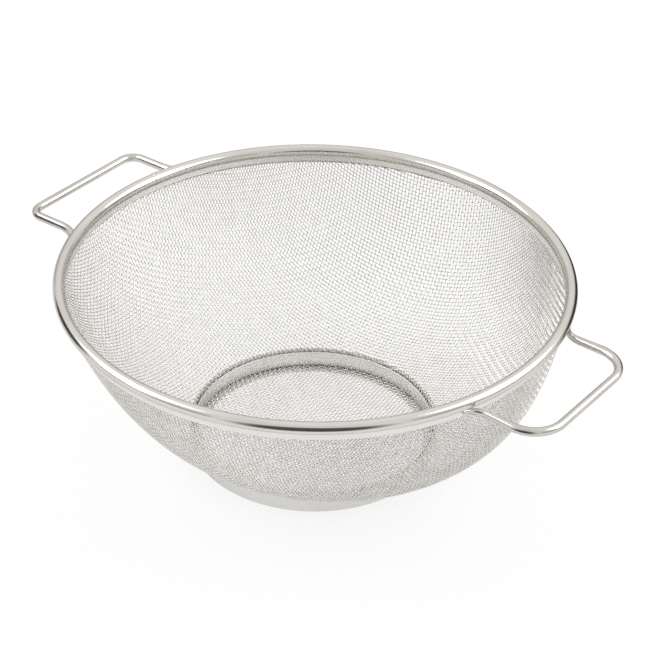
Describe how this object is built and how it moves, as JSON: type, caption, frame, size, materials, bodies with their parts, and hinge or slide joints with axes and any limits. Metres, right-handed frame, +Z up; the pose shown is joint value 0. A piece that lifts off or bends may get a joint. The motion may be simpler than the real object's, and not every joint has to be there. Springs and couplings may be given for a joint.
{
  "type": "wire mesh colander",
  "caption": "Footed colander with a pressed woven-wire bowl, a beaded steel rim band and welded wire handles, for draining and rinsing food.",
  "frame": {"origin": "centre of the foot ring on the surface that it stands on", "axes": "+Z up along the bowl's axis, +X out to the right handle, whose middle lies within a degree of it"},
  "size_m": [0.2976, 0.24, 0.0939],
  "materials": {
    "wire_cloth": "bright drawn stainless wire, plain square weave",
    "rim_steel": "polished stainless sheet",
    "core_wire": "drawn wire, hidden in the rim",
    "foot_steel": "satin stainless sheet",
    "handle_wire": "polished stainless wire"
  },
  "bodies": {
    "root": {"mesh_bowl": "wire_cloth", "rim_band": "rim_steel", "rim_core_wire": "core_wire", "foot_ring": "foot_steel", "backing_strip": "foot_steel", "handle_right": "handle_wire", "handle_left": "handle_wire"}
  },
  "joints": []
}
